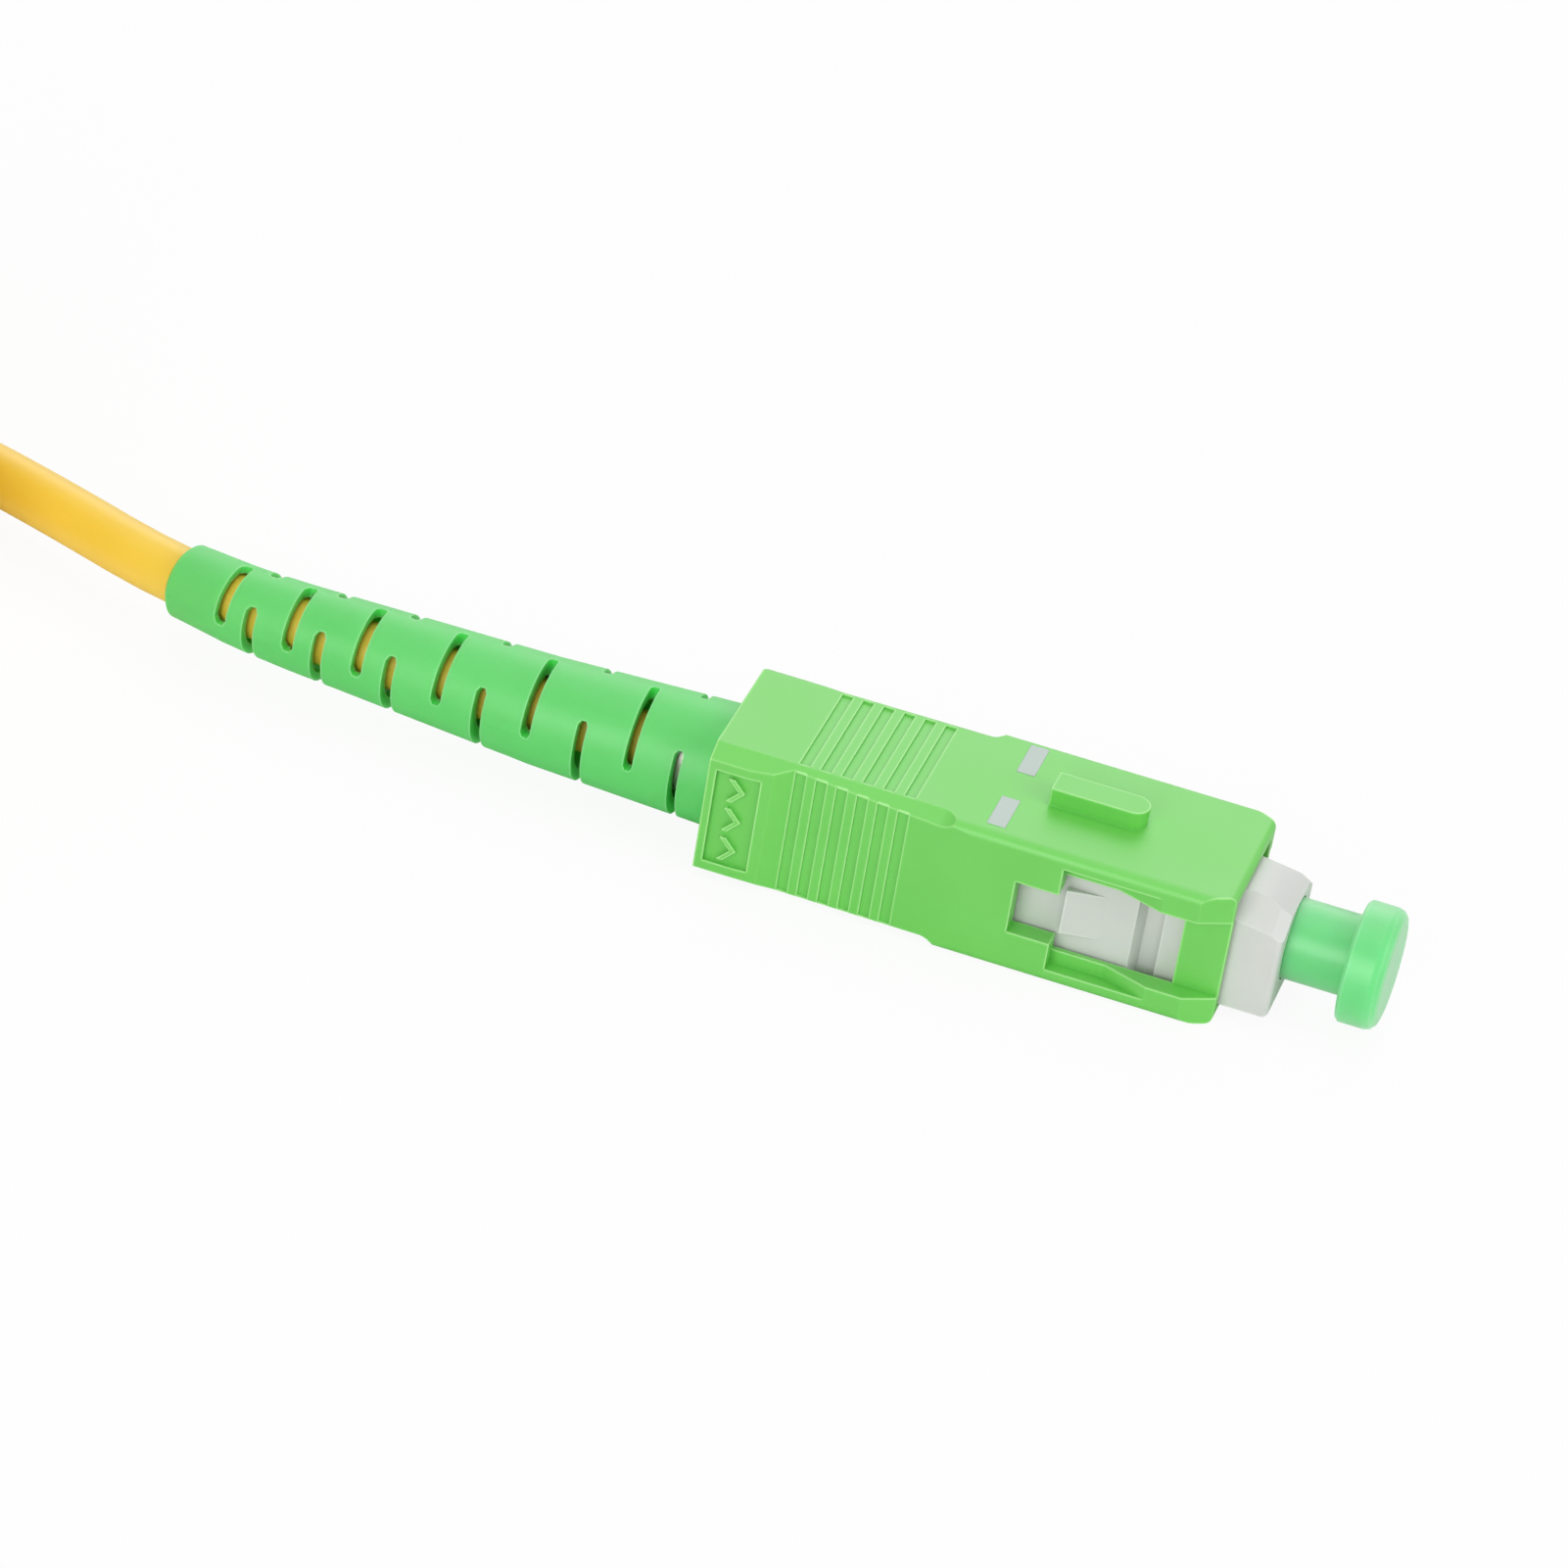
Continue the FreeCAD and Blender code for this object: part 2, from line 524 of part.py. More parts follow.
def slot_tool(x, start, sweep, width):
    """A slot through the boot's wall, part of the way round it, rounded by three chords at each end."""
    centre, along = path_at(x)
    up = (Vector(0, 0, 1) - along * along.z).normalize()
    inner = 0.9
    outer = 4.0
    half = along * (width / 2)
    face = Part.Face(Part.makePolygon([centre + up * inner - half, centre + up * outer - half,
                                       centre + up * outer + half, centre + up * inner + half,
                                       centre + up * inner - half]))
    face.rotate(centre, along, -start)
    tool = face.revolve(centre, along, -sweep)
    for angle, side in ((start, -1), (start + sweep, 1)):
        radial = Rotation(along, -angle).multVec(up)
        around = radial.cross(along) * (side * width / 2)
        turns = [step * math.pi / 3 for step in range(4)]
        corners = [centre + radial * inner + half * math.cos(turn) + around * math.sin(turn)
                   for turn in turns]
        end = Part.Face(Part.makePolygon(corners + corners[:1]))
        tool = tool.fuse(end.extrude(radial * (outer - inner)))
    return tool


def evenly(points, first, last):
    """A radius for each point, from first to last in step with the length between them."""
    done = [0.0]
    for start, end in zip(points, points[1:]):
        done.append(done[-1] + start.distanceToPoint(end))
    return [first + (last - first) * length / done[-1] for length in done]


bends = RUN[:2] + [path_at(x)[0] for x in BENDS] + RUN[3:]
boot_line = bends[:2 + BOOT_BENDS]


def make_boot():
    """Bend relief: a tapering sleeve on the cable's curve, slotted in two staggered rows."""
    tip = boot_line[-1].x
    cone = rod(boot_line, evenly(boot_line, D["BootBase"], D["BootTip"]))
    rim = [edge for edge in cone.Edges if edge.Curve.TypeId == "Part::GeomCircle"
           and abs(edge.CenterOfMass.x - tip) < 0.01]
    cone = cone.makeChamfer(0.2, rim)
    shape = cone.fuse(bar(D["BootCollar"], D["JacketStart"] - 0.5, D["BootFront"]))
    past_tip = boot_line[-1] + (boot_line[-1] - boot_line[-2]).normalize() * CLEAR
    bores = [bar(D["BootBore"], boot_line[1].x, D["BootFront"] + CLEAR)]
    for line, radius in ((boot_line[1:3], D["BootMidBore"]), (boot_line[2:] + [past_tip], D["BootTipBore"])):
        start = line[0] + (line[0] - line[1]).normalize() * 0.4
        bores.append(rod([start] + line[1:], [radius] * len(line)))
    slots = []
    for start, sweep, stations in ((-5.0, 91.0, UPPER_SLOTS), (59.0, 107.0, LOWER_SLOTS)):
        for x in stations:
            width = 0.42 + 0.28 * (D["JacketStart"] - x) / (D["JacketStart"] - tip)
            slots += [slot_tool(x, start + opposite, sweep, width) for opposite in (0.0, 180.0)]
    return shape.cut(bores).cut(slots)


def make_coil():
    """The stored cable as the closed outer shape of its turns, and the band that ties it."""
    pitch = 2 * D["CableRadius"]
    half_width = COIL_COLUMNS * pitch / 2
    height = COIL_LAYERS * pitch
    heading = (RUN[-1] - RUN[-2])
    heading.z = 0
    heading.normalize()
    sideways = Vector(-heading.y, heading.x, 0)
    tangent = RUN[-1] + heading * ENTRY_TO_TANGENT
    centre = tangent + sideways * (COIL_RADIUS + half_width - D["CableRadius"])
    centre.z = TIE_THICKNESS - AXIS_HEIGHT
    print("coil centre %.2f, %.2f" % (centre.x, centre.y))
    up = Vector(0, 0, 1)
    ring = Part.makeCylinder(COIL_RADIUS + half_width, height, centre, up)
    ring = ring.cut(Part.makeCylinder(COIL_RADIUS - half_width, height, centre, up))
    low = centre + sideways * (COIL_RADIUS - half_width - TIE_THICKNESS) - up * TIE_THICKNESS
    across = sideways * 2 * (half_width + TIE_THICKNESS)
    rise = up * (height + 2 * TIE_THICKNESS)
    frame = Part.Face(Part.makePolygon([low, low + across, low + across + rise, low + rise, low]))
    return ring, frame.revolve(centre, up, TIE_ANGLE).cut(ring)


# ---------------------------------------------------------------- build every piece
def keep(label, shape):
    """A finished shape as a named object, lifted to the axis height."""
    piece = doc.addObject("Part::Feature", label)
    piece.Label = label
    own_place = shape.Placement
    piece.Shape = shape
    piece.Placement = Placement(Vector(0, 0, AXIS_HEIGHT), Rotation()).multiply(own_place)
    return piece


coil, tie = make_coil()
pieces = [
    make_outer_housing(), make_plug_frame(), make_ferrule(), make_ferrule_flange(),
    make_spring_stop(), make_crimp_ring(), make_dust_cap(),
    keep("boot", make_boot()),
    keep("optical_fibre", bar(0.0625, D["FerruleRear"], D["FerruleTip"] - 0.02)),
    keep("tight_buffer", bar(D["BufferRadius"], D["BufferRear"], D["FerruleRear"] - 0.02)),
    keep("aramid_yarn", tube(D["BarrelRadius"] + 0.01, D["CrimpInner"] - 0.01, -18.0, -12.2)),
    keep("cable_run", rod(bends, [D["CableRadius"]] * len(bends))),
    keep("cable_coil", coil),
    keep("coil_tie", tie),
]


def make_spring():
    """Compression spring wound round the holder's hub; its wire is drawn with four sides."""
    wire = 0.18
    mean = D["SpringBore"] - 0.08 - wire
    rear = D["StopFace"] + wire + 0.02
    length = D["HolderRear"] - D["StopFace"] - 2 * wire - 0.04
    turns = 4
    helix = Part.makeHelix(length / turns, length, mean)
    corners = [Vector(mean + wire * math.cos(k * math.pi / 2), 0, wire * math.sin(k * math.pi / 2))
               for k in range(5)]
    shell = Part.BRepOffsetAPI.MakePipeShell(Part.Wire(helix.Edges))
    shell.setFrenetMode(True)
    shell.add(Part.makePolygon(corners))
    shell.build()
    shell.makeSolid()
    spring = shell.shape()
    spring.rotate(Vector(), Vector(0, 1, 0), 90)
    spring.translate(Vector(rear, 0, 0))
    return spring


pieces.append(keep("ferrule_spring", make_spring()))

doc.recompute()
for thing in doc.Objects:
    if "Invalid" in thing.State or "Error" in thing.State:
        raise RuntimeError("%s is in state %s" % (thing.Label, thing.State))
os.makedirs("parts", exist_ok=True)
for piece in pieces:
    if piece.Shape.isNull() or not piece.Shape.isValid() or len(piece.Shape.Solids) != 1:
        raise RuntimeError("%s: %d solids, valid %s" % (piece.Label, len(piece.Shape.Solids),
                                                       piece.Shape.isValid()))
    piece.Shape.exportStep(os.path.join("parts", piece.Label + ".step"))
    box = piece.Shape.BoundBox
    print("%-15s %8.1f mm3  x %.2f..%.2f  y %.2f..%.2f  z %.2f..%.2f" % (
        piece.Label, piece.Shape.Volume, box.XMin, box.XMax, box.YMin, box.YMax, box.ZMin, box.ZMax))
print("cable run %.1f mm, section area x length %.1f mm3" % (
    run_length, math.pi * D["CableRadius"] ** 2 * run_length))
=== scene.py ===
"""Finishes for an SC fibre connector with its dust cap, boot and tied cable.

Metres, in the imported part's own frame: +X towards the mating end, +Z up through the key.
"""

import math

import bmesh
import bpy
import numpy as np
from mathutils import Matrix


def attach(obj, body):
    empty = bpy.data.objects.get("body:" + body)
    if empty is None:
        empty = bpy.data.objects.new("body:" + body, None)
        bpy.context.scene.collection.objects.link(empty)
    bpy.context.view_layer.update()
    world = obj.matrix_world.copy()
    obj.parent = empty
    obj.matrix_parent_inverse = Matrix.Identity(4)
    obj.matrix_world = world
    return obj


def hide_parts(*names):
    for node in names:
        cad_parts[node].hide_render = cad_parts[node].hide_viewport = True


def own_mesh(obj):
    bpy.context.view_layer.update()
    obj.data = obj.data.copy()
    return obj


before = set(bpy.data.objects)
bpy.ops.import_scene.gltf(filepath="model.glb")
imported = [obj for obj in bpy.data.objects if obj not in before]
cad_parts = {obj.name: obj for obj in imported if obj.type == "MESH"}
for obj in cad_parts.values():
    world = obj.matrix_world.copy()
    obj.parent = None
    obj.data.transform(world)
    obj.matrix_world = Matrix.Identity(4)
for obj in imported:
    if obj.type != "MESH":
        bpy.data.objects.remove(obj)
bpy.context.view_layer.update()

MM = 0.001

# ---------------------------------------------------------------- camera
CAMERA_PLACE = (0.05056, -0.29125, 0.20142)
CAMERA_RIGHT = (0.9404, 0.3094, 0.1410)
CAMERA_DOWN = (0.2854, -0.4932, -0.8218)
SENSOR_MM = 36.0
LENS_MM = 168.65
NEAREST_SEEN = 0.01


def aim_camera():
    """Camera whose columns are its right, up and backward directions."""
    right = np.array(CAMERA_RIGHT) / np.linalg.norm(CAMERA_RIGHT)
    up = -np.array(CAMERA_DOWN)
    up -= right * up.dot(right)
    up /= np.linalg.norm(up)
    back = np.cross(right, up)
    data = bpy.data.cameras.new("camera")
    data.lens = LENS_MM
    data.sensor_width = SENSOR_MM
    data.clip_start = NEAREST_SEEN
    camera = bpy.data.objects.new("camera", data)
    bpy.context.scene.collection.objects.link(camera)
    pose = np.eye(4)
    pose[:3, 0], pose[:3, 1], pose[:3, 2], pose[:3, 3] = right, up, back, CAMERA_PLACE
    camera.matrix_world = Matrix(pose.tolist())
    bpy.context.scene.camera = camera


def smooth_step(share):
    """Zero to one along 3 t^2 - 2 t^3, level at both ends."""
    return share * share * (3 - 2 * share)


# ---------------------------------------------------------------- materials
FLOW_MARK_MM = 6.0
SOFT_EDGE_MM = 0.05
DRAG_LINE_MM = 0.25
DRAG_RELIEF_MM = 0.01
JACKET_TONE_MM = 9.0
LATHE_RELIEF_MM = 0.004
WAVE_RADIANS = 20
WHITE = (1, 1, 1, 1)


def linear(colour):
    """The linear values, with alpha, of an sRGB hex colour."""
    parts = [int(colour[i:i + 2], 16) / 255 for i in (1, 3, 5)]
    return [p / 12.92 if p <= 0.04045 else ((p + 0.055) / 1.055) ** 2.4 for p in parts] + [1.0]


def add(tree, kind, links=None, **settings):
    """A node with its settings: a known property, or else the default of the input so named."""
    node = tree.nodes.new("ShaderNode" + kind)
    for name, value in settings.items():
        if hasattr(node, name):
            setattr(node, name, value)
        else:
            node.inputs[name.replace("_", " ")].default_value = value
    for name, socket in (links or {}).items():
        tree.links.new(socket, node.inputs[name])
    return node


def fresh(name):
    """A new material with nothing but a coordinate node: itself, its tree and the Object socket."""
    material = bpy.data.materials.new(name)
    material.use_nodes = True
    tree = material.node_tree
    tree.nodes.clear()
    coordinates = add(tree, "TexCoord")
    return material, tree, coordinates.outputs["Object"]


def per_metre(size_mm):
    """Noise scale whose features are of a size given in millimetres."""
    return 1.0 / (size_mm * MM)


def two_tone(tree, factor, low, high, start=0.35, end=0.65):
    """A colour that goes from low to high as the factor does."""
    ramp = add(tree, "ValToRGB", {"Fac": factor})
    ramp.color_ramp.elements[0].position = start
    ramp.color_ramp.elements[0].color = linear(low)
    ramp.color_ramp.elements[1].position = end
    ramp.color_ramp.elements[1].color = linear(high)
    return ramp.outputs["Color"]


def closed_in(tree, reach_mm, start, end, most, inside=False):
    """How shut in a point is, from none to the most, by what lies within reach of it.

    Looking out of the plastic finds its grooves, for painted shade, and looking into it finds its outer
    edges, for painted highlights.
    """
    view = add(tree, "AmbientOcclusion", samples=8, only_local=True, inside=inside,
               Distance=reach_mm * MM)
    share = add(tree, "MapRange", {"Value": view.outputs["AO"]}, From_Min=start, From_Max=end,
                To_Min=0.0, To_Max=most)
    return share.outputs["Result"]


def moulded(name, low, high, groove_shading, edge_highlight, roughness, texture_mm, relief_mm, edge_highlight_reach_mm, groove_shading_reach_mm, **shader):
    """Injection-moulded plastic: flow marks in the colour, spark-eroded grain, softened edges.

    Painted shade goes into its grooves as a groove colour, and painted highlights go on its outer edges as
    a paler colour; in the boot's slots the groove colour is lighter, as painted light.
    """
    material, tree, place = fresh(name)
    flow = add(tree, "TexNoise", {"Vector": place}, Scale=per_metre(FLOW_MARK_MM), Detail=3.0,
               Roughness=0.55)
    grain = add(tree, "TexNoise", {"Vector": place}, Scale=per_metre(texture_mm), Detail=4.0)
    # Painted shade in the grooves (painted light in the boot's slots) and painted highlights on the outer
    # edges, mixed into the base colour below.
    groove_shading_share = closed_in(tree, groove_shading_reach_mm, start=0.95, end=0.55, most=0.8)
    edge_highlight_share = closed_in(tree, edge_highlight_reach_mm, start=0.94, end=0.66, most=0.9, inside=True)
    body = add(tree, "MixRGB", {"Fac": groove_shading_share, "Color1": two_tone(tree, flow.outputs["Fac"], low, high)},
               Color2=linear(groove_shading))
    colour = add(tree, "MixRGB", {"Fac": edge_highlight_share, "Color1": body.outputs["Color"]}, Color2=linear(edge_highlight))
    soft = add(tree, "Bevel", samples=8, Radius=SOFT_EDGE_MM * MM)
    bump = add(tree, "Bump", {"Height": grain.outputs["Fac"], "Normal": soft.outputs["Normal"]},
               Strength=0.35, Distance=relief_mm * MM)
    gloss = add(tree, "MapRange", {"Value": flow.outputs["Fac"]}, From_Min=0.3, From_Max=0.7,
                To_Min=roughness - 0.04, To_Max=roughness + 0.05)
    surface = add(tree, "BsdfPrincipled",
                  {"Base Color": colour.outputs["Color"], "Roughness": gloss.outputs["Result"],
                   "Normal": bump.outputs["Normal"]}, **shader)
    add(tree, "OutputMaterial", {"Surface": surface.outputs["BSDF"]})
    return material


def housing_plastic():
    """Green PBT: opaque, satin, with painted highlights on its edges and painted shade, a deeper green, in
    its grooves.
    """
    return moulded("pbt_green", low="#67C84E", high="#6CCC53", groove_shading="#5BBF44", edge_highlight="#A6EB8F",
                   roughness=0.46, texture_mm=0.10, relief_mm=0.006, edge_highlight_reach_mm=0.12, groove_shading_reach_mm=0.45,
                   IOR=1.54, Specular_IOR_Level=0.7)


def boot_elastomer():
    """Green thermoplastic elastomer: waxy, with subsurface light through its thin walls, painted light, a
    brighter green, in its slots, and painted highlights on its edges.
    """
    return moulded("tpe_green", low="#56CE62", high="#5DD269", groove_shading="#52EC68", edge_highlight="#7FE287",
                   roughness=0.50, texture_mm=0.16, relief_mm=0.008, edge_highlight_reach_mm=0.10, groove_shading_reach_mm=0.50,
                   IOR=1.50, Specular_IOR_Level=0.8, Subsurface_Weight=0.7,
                   Subsurface_Radius=(0.6, 1.0, 0.5), Subsurface_Scale=1.2 * MM)


def cap_polyethylene():
    """Clear-green polyethylene: milky, bright where it is thick, with a sheen at a low angle, painted
    highlights on its edges and painted shade, a deeper green, in its grooves.
    """
    return moulded("ldpe_clear_green", low="#5CD277", high="#62D67D", groove_shading="#4BCB69", edge_highlight="#ACEDB4",
                   roughness=0.40, texture_mm=0.30, relief_mm=0.006, edge_highlight_reach_mm=0.16, groove_shading_reach_mm=0.40,
                   IOR=1.51, Specular_IOR_Level=0.8, Sheen_Weight=0.5, Subsurface_Weight=0.8,
                   Subsurface_Radius=(0.7, 1.0, 0.8), Subsurface_Scale=2.0 * MM)


def frame_plastic():
    """White glass-filled PBT: bright, faintly grainy, with painted shade, a grey, in its recesses and
    painted highlights on its edges.
    """
    return moulded("pbt_white", low="#CDCFCB", high="#D2D4D0", groove_shading="#BBBDB8", edge_highlight="#E4E8E4",
                   roughness=0.40, texture_mm=0.08, relief_mm=0.005, edge_highlight_reach_mm=0.10, groove_shading_reach_mm=0.40,
                   IOR=1.54)


def marking_ink():
    """Pad-printed white ink: thin and matt, with a faint painted highlight on its edges."""
    return moulded("white_ink", low="#BAC8C2", high="#BFCCC7", groove_shading="#BAC8C2", edge_highlight="#CBD6D1",
                   roughness=0.55, texture_mm=0.05, relief_mm=0.003, edge_highlight_reach_mm=0.01, groove_shading_reach_mm=0.05,
                   IOR=1.48)


def jacket_pvc():
    """Yellow PVC jacket: extruded, with fine drag lines.

    The lines lie along X, so they run along the cable where it is straight and cross it in the coil.
    """
    material, tree, place = fresh("pvc_yellow")
    stretched = add(tree, "Mapping", {"Vector": place}, Scale=(0.12, 1.0, 1.0))
    drag = add(tree, "TexNoise", {"Vector": stretched.outputs["Vector"]}, Scale=per_metre(DRAG_LINE_MM),
               Detail=3.0)
    tone = add(tree, "TexNoise", {"Vector": place}, Scale=per_metre(JACKET_TONE_MM), Detail=2.0)
    bump = add(tree, "Bump", {"Height": drag.outputs["Fac"]}, Strength=0.3, Distance=DRAG_RELIEF_MM * MM)
    surface = add(tree, "BsdfPrincipled",
                  {"Base Color": two_tone(tree, tone.outputs["Fac"], "#F2CB43", "#F5D04A"),
                   "Normal": bump.outputs["Normal"]}, Roughness=0.4, IOR=1.53)
    add(tree, "OutputMaterial", {"Surface": surface.outputs["BSDF"]})
    return material


def plated(name, low, high, roughness, line_mm):
    """Bright metal, nickel-plated or bare: fine rings, as turning leaves them, run round the axis."""
    material, tree, place = fresh(name)
    rings = add(tree, "Mapping", {"Vector": place}, Scale=(1.0, 0.05, 0.05))
    lines = add(tree, "TexNoise", {"Vector": rings.outputs["Vector"]}, Scale=per_metre(line_mm), Detail=5.0)
    bump = add(tree, "Bump", {"Height": lines.outputs["Fac"]}, Strength=0.25, Distance=LATHE_RELIEF_MM * MM)
    surface = add(tree, "BsdfPrincipled",
                  {"Base Color": two_tone(tree, lines.outputs["Fac"], low, high),
                   "Normal": bump.outputs["Normal"]}, Metallic=1.0, Roughness=roughness)
    add(tree, "OutputMaterial", {"Surface": surface.outputs["BSDF"]})
    return material


def polished(name, low, high, roughness, ior, patch_mm):
    """Hard smooth surface, such as zirconia or glass, with faint clouding."""
    material, tree, place = fresh(name)
    cloud = add(tree, "TexNoise", {"Vector": place}, Scale=per_metre(patch_mm), Detail=2.0)
    surface = add(tree, "BsdfPrincipled", {"Base Color": two_tone(tree, cloud.outputs["Fac"], low, high)},
                  Roughness=roughness, IOR=ior)
    add(tree, "OutputMaterial", {"Surface": surface.outputs["BSDF"]})
    return material


def woven(name, low, high, pitch_mm, relief_mm):
    """Yarn or hook-and-loop band: threads that cross, drawn several times coarser than real ones.

    A wave at scale 1 runs through a fixed number of radians in a unit, and one pitch is a full turn.
    """
    material, tree, place = fresh(name)
    scale = per_metre(pitch_mm) * 2 * math.pi / WAVE_RADIANS
    along, across = (add(tree, "TexWave", {"Vector": place}, bands_direction=way, Scale=scale,
                         Distortion=1.5, Detail=2.0)
                     for way in ("X", "Z"))
    weave = add(tree, "Math", {0: along.outputs["Fac"], 1: across.outputs["Fac"]}, operation="MULTIPLY")
    bump = add(tree, "Bump", {"Height": weave.outputs["Value"]}, Strength=0.8, Distance=relief_mm * MM)
    surface = add(tree, "BsdfPrincipled",
                  {"Base Color": two_tone(tree, weave.outputs["Value"], low, high, start=0.0, end=1.0),
                   "Normal": bump.outputs["Normal"]}, Roughness=0.85, Sheen_Weight=0.3)
    add(tree, "OutputMaterial", {"Surface": surface.outputs["BSDF"]})
    return material


NODE_FINISHES = {
    "outer_housing": housing_plastic(),
    "plug_frame": frame_plastic(),
    "boot": boot_elastomer(),
    "dust_cap": cap_polyethylene(),
    "ferrule": polished("zirconia_white", "#EFEDE8", "#F4F2EE", roughness=0.12, ior=2.1, patch_mm=2.0),
    "optical_fibre": polished("silica_clear", "#DDE6EE", "#E8EFF5", roughness=0.05, ior=1.46, patch_mm=1.0),
    "tight_buffer": polished("pvc_white", "#E8E6DF", "#EFEDE7", roughness=0.4, ior=1.53, patch_mm=4.0),
    "ferrule_flange": plated("nickel_flange", "#B9B6AE", "#CBC8C0", roughness=0.28, line_mm=0.12),
    "spring_stop": plated("nickel_stop", "#B4B1AA", "#C6C3BC", roughness=0.30, line_mm=0.15),
    "crimp_ring": plated("nickel_crimp", "#B0ADA5", "#C4C1B8", roughness=0.34, line_mm=0.20),
    "aramid_yarn": woven("aramid_gold", "#B4912F", "#E0C25A", pitch_mm=1.885, relief_mm=0.05),
}


def finish_nodes():
    """Each CAD node left in view gets its own material."""
    for node, material in NODE_FINISHES.items():
        piece = bpy.data.objects[node]
        for slot in piece.material_slots:
            slot.material = material


# ---------------------------------------------------------------- new surfaces
def new_piece(name, points, faces, material, body, smooth=True):
    """A mesh object at the origin that rides on a body and takes the material it is given."""
    mesh = bpy.data.meshes.new(name)
    mesh.from_pydata(np.asarray(points).tolist(), [], [list(f) for f in faces])
    mesh.validate()
    mesh.polygons.foreach_set("use_smooth", np.full(len(mesh.polygons), smooth))
    mesh.materials.append(material)
    piece = bpy.data.objects.new(name, mesh)
    bpy.context.scene.collection.objects.link(piece)
    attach(piece, body)
    return piece


# ---------------------------------------------------------------- printed marks
CROWN_HEIGHT = 7.4 * MM
KEY_MIDDLE = 0.13 * MM
BAR_REAR, BAR_FRONT = -4.66 * MM, -3.73 * MM
BAR_INNER, BAR_OUTER = 1.2 * MM, 3.8 * MM
BAR_SUNK, BAR_PROUD = 0.01 * MM, 0.02 * MM


def add_marks():
    """Two white bars across the crown, one each side of the key's middle, just proud of its flat top."""
    ink = marking_ink()
    x0, x1 = BAR_REAR, BAR_FRONT
    z0, z1 = CROWN_HEIGHT - BAR_SUNK, CROWN_HEIGHT + BAR_PROUD
    for name, side in (("mark_near", -1), ("mark_far", 1)):
        y0, y1 = sorted((KEY_MIDDLE + side * BAR_INNER, KEY_MIDDLE + side * BAR_OUTER))
        points = [(x, y, z) for z in (z0, z1) for x, y in ((x0, y0), (x1, y0), (x1, y1), (x0, y1))]
        faces = [(3, 2, 1, 0), (4, 5, 6, 7), (0, 1, 5, 4), (1, 2, 6, 5), (2, 3, 7, 6), (3, 0, 4, 7)]
        new_piece(name, points, faces, ink, "sleeve", smooth=False)


# ---------------------------------------------------------------- cable
CABLE_DIAMETER = 3.0 * MM
# The route from the crimp to the coil, and then the stored turns, each in its place.
ROUTE_MM = [(-18.05, 0.0, 3.7), (-28.0, 0.0, 3.7), (-46.58, 1.35, 3.5), (-58.0, 6.75, 2.75),
            (-66.4, 10.1, 2.1)]
COIL_CENTRE_MM = (-78.55, -2.82)
TURN_RADII_MM = (16.5, 13.5, 13.5, 16.5, 16.5, 13.5, 13.5, 16.5, 16.5, 13.5)
TURN_HEIGHTS_MM = (2.0, 2.0, 5.0, 5.0, 8.0, 8.0, 11.0, 11.0, 14.0, 14.0)
POINTS_PER_TURN = 16
CROSSING = 0.25
COIL_ENTRY = (0.3705, 0.9289)
START_ANGLE = math.atan2(COIL_ENTRY[1], COIL_ENTRY[0])


def coil_points():
    """Points of the tied turns, layer on layer.

    Turn n keeps its radius and height and passes to those of turn n + 1 over its last quarter,
    along a smooth step.  The radius is raised by the share that the spline cuts off.
    """
    share = (1 + math.cos(2 * math.pi / POINTS_PER_TURN)) / 2
    turns = len(TURN_RADII_MM)
    count = turns * POINTS_PER_TURN
    at = np.arange(count) / POINTS_PER_TURN
    turn = np.minimum(at.astype(int), turns - 1)
    following = np.minimum(turn + 1, turns - 1)
    step = smooth_step(np.clip((at - turn - (1 - CROSSING)) / CROSSING, 0, 1))
    radii = np.array(TURN_RADII_MM)
    heights = np.array(TURN_HEIGHTS_MM)
    radius = (radii[turn] * (1 - step) + radii[following] * step) / (0.5 + share / 2)
    height = heights[turn] * (1 - step) + heights[following] * step
    angle = START_ANGLE + 2 * math.pi * at
    return np.column_stack([COIL_CENTRE_MM[0] + radius * np.cos(angle),
                            COIL_CENTRE_MM[1] + radius * np.sin(angle), height])


def add_cable():
    """The cable: one smooth curve from the crimp, through the boot, to the tied coil."""
    points = np.vstack([np.array(ROUTE_MM), coil_points()]) * MM
    curve = bpy.data.curves.new("cable", "CURVE")
    curve.dimensions = "3D"
    curve.bevel_depth = CABLE_DIAMETER / 2
    curve.bevel_resolution = 8
    curve.use_fill_caps = True
    curve.resolution_u = 6
    spline = curve.splines.new("NURBS")
    spline.points.add(len(points) - 1)
    spline.points.foreach_set("co", np.column_stack([points, np.ones(len(points))]).ravel())
    spline.order_u = 3
    spline.use_endpoint_u = True
    curve.materials.append(jacket_pvc())
    cable = bpy.data.objects.new("cable", curve)
    bpy.context.scene.collection.objects.link(cable)
    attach(cable, "plug_core")
    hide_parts("cable_run", "cable_coil")
    return cable


# ---------------------------------------------------------------- spring behind the ferrule
SAME_CORNER = 0.0001 * MM


def add_spring():
    """The spring's own shape, from its CAD mesh with coincident corners merged, riding on the plug core.
    """
    shape = bmesh.new()
    shape.from_mesh(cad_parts["ferrule_spring"].data)
    bmesh.ops.remove_doubles(shape, verts=shape.verts, dist=SAME_CORNER)
    corners = [tuple(vertex.co) for vertex in shape.verts]
    shape.verts.index_update()
    faces = [[vertex.index for vertex in face.verts] for face in shape.faces]
    shape.free()
    spring = new_piece("spring_coil", corners, faces,
                       plated("spring_steel", "#8E8C88", "#A3A19C", roughness=0.30, line_mm=0.10),
                       "plug_core", smooth=False)
    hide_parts("ferrule_spring")
    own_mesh(spring)


# ---------------------------------------------------------------- strap round the coil
STRAP_WIDTH_MM = 4.6
STRAP_THICK_MM = 0.22
STRAP_ANGLE = math.radians(-103.2)
